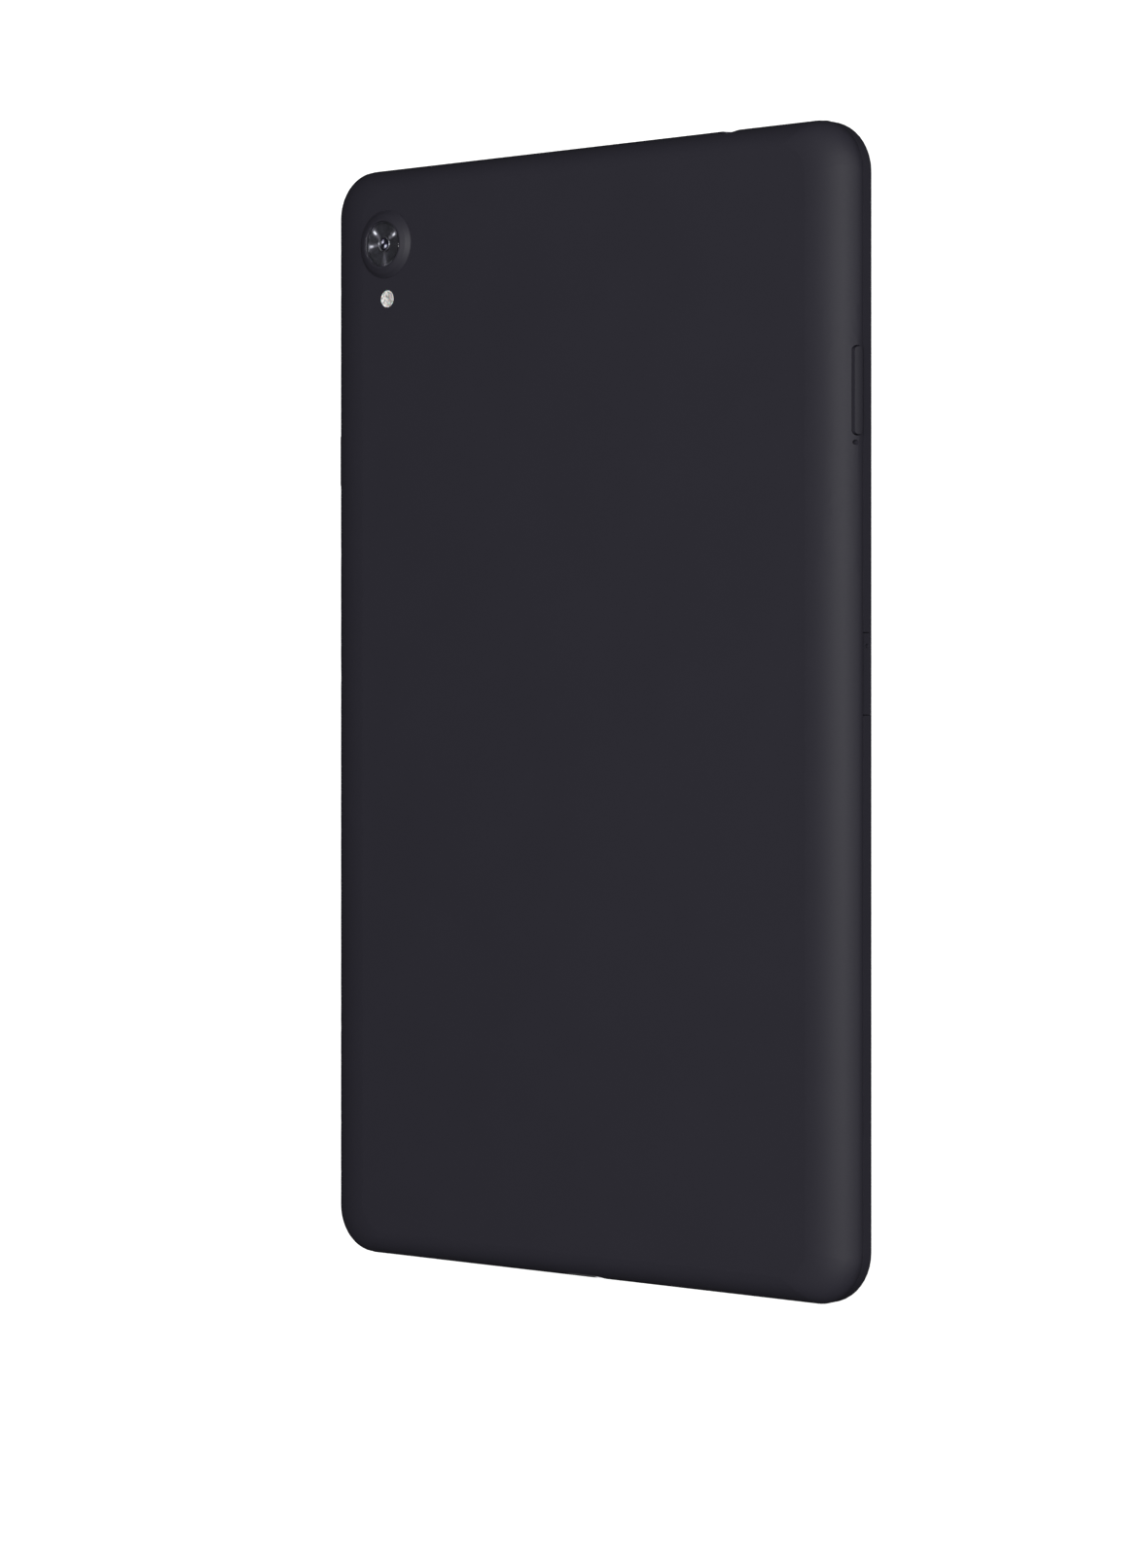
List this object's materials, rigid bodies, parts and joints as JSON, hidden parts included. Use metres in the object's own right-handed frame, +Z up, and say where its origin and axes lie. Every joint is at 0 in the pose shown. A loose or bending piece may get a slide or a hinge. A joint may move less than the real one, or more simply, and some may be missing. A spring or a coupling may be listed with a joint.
{
  "type": "tablet computer",
  "caption": "Slim hand-held touch tablet lying on its screen: curved matte rear shell with a round camera bump, flat front glass, side keys and a card tray.",
  "frame": {"origin": "centre of the screen's face, on which the tablet lies, in the middle of the width and height of the body", "axes": "+Z up out of the back, as the tablet lies on its screen; +Y along its height in portrait, towards the camera end; +X to the right seen from the back"},
  "size_m": [0.1224, 0.2046, 0.0094],
  "materials": {
    "cover_plastic": "fine matte moulded texture, charcoal",
    "frame_plastic": "fine matte, charcoal, slightly lighter than the back",
    "front_glass": "polished, black border printed behind",
    "clear_window": "polished camera window",
    "flash_plastic": "milky clear diffusing lens",
    "lens_glass": "coated lens",
    "black_plastic": "black moulded",
    "dark_trim": "dark satin ring",
    "key_plastic": "satin charcoal key",
    "adhesive": "adhesive foam tape",
    "display_film": "thin polarised display layers",
    "light_film": "white diffusing sheet",
    "plate_metal": "bare stamped plate",
    "steel": "thin pressed steel",
    "board_laminate": "green solder mask",
    "chip_resin": "moulded chip resin",
    "flex_film": "amber flexible film",
    "cell_foil": "battery pouch foil",
    "graphite": "graphite sheet",
    "thermal_rubber": "soft thermal pad",
    "plated_metal": "nickel plated contacts",
    "cable_jacket": "coaxial jacket"
  },
  "bodies": {
    "casing": {"rear_cover": "cover_plastic", "front_frame": "frame_plastic", "cover_glass": "front_glass", "glass_adhesive": "adhesive", "touch_film": "display_film", "lcd_cell": "display_film", "backlight_film": "light_film", "light_guide": "light_film", "backlight_leds": "light_film", "backlight_tray": "steel", "display_driver_chip": "chip_resin", "display_flex": "flex_film", "mid_plate": "plate_metal", "battery_cell": "cell_foil", "battery_adhesive": "adhesive", "battery_board": "board_laminate", "battery_lead": "flex_film", "main_board": "board_laminate", "processor_chip": "chip_resin", "memory_chip": "chip_resin", "storage_chip": "chip_resin", "power_chip": "chip_resin", "radio_chip": "chip_resin", "processor_shield": "steel", "radio_shield": "steel", "thermal_pad": "thermal_rubber", "heat_spreader": "graphite", "board_connectors": "black_plastic", "board_screws": "steel", "board_standoffs": "plated_metal", "usb_board": "board_laminate", "usb_shell": "plated_metal", "usb_tongue": "black_plastic", "board_link_flex": "flex_film", "headphone_jack": "black_plastic", "jack_contacts": "plated_metal", "rear_camera": "black_plastic", "rear_camera_lens": "lens_glass", "camera_hood": "black_plastic", "camera_ring": "dark_trim", "camera_window": "clear_window", "flash_led": "light_film", "flash_window": "flash_plastic", "front_camera": "black_plastic", "left_speaker": "black_plastic", "right_speaker": "black_plastic", "speaker_meshes": "steel", "bottom_microphone": "plated_metal", "side_microphone": "plated_metal", "volume_switches": "flex_film", "volume_bracket": "steel", "power_switch": "flex_film", "power_bracket": "steel", "card_socket": "steel", "upper_antenna": "plated_metal", "lower_antenna": "plated_metal", "antenna_cable": "cable_jacket"},
    "volume_rocker": {"volume_key": "key_plastic"},
    "power_button": {"power_key": "key_plastic"},
    "tray": {"card_tray": "frame_plastic"}
  },
  "joints": [
    {"name": "volume_rock", "type": "hinge", "parent": "casing", "child": "volume_rocker", "pos_m": [0.0585, 0.0551, 0.00477], "axis": [0, 0, 1], "range_deg": [-1.9, 1.9], "stiffness_Nm_per_rad": 0.6},
    {"name": "power_press", "type": "slide", "parent": "casing", "child": "power_button", "axis": [1, 0, 0], "range_m": [0, 0.00025], "stiffness_N_per_m": 1500},
    {"name": "tray_slide", "type": "slide", "parent": "casing", "child": "tray", "axis": [1, 0, 0], "range_m": [0, 0.024]}
  ]
}
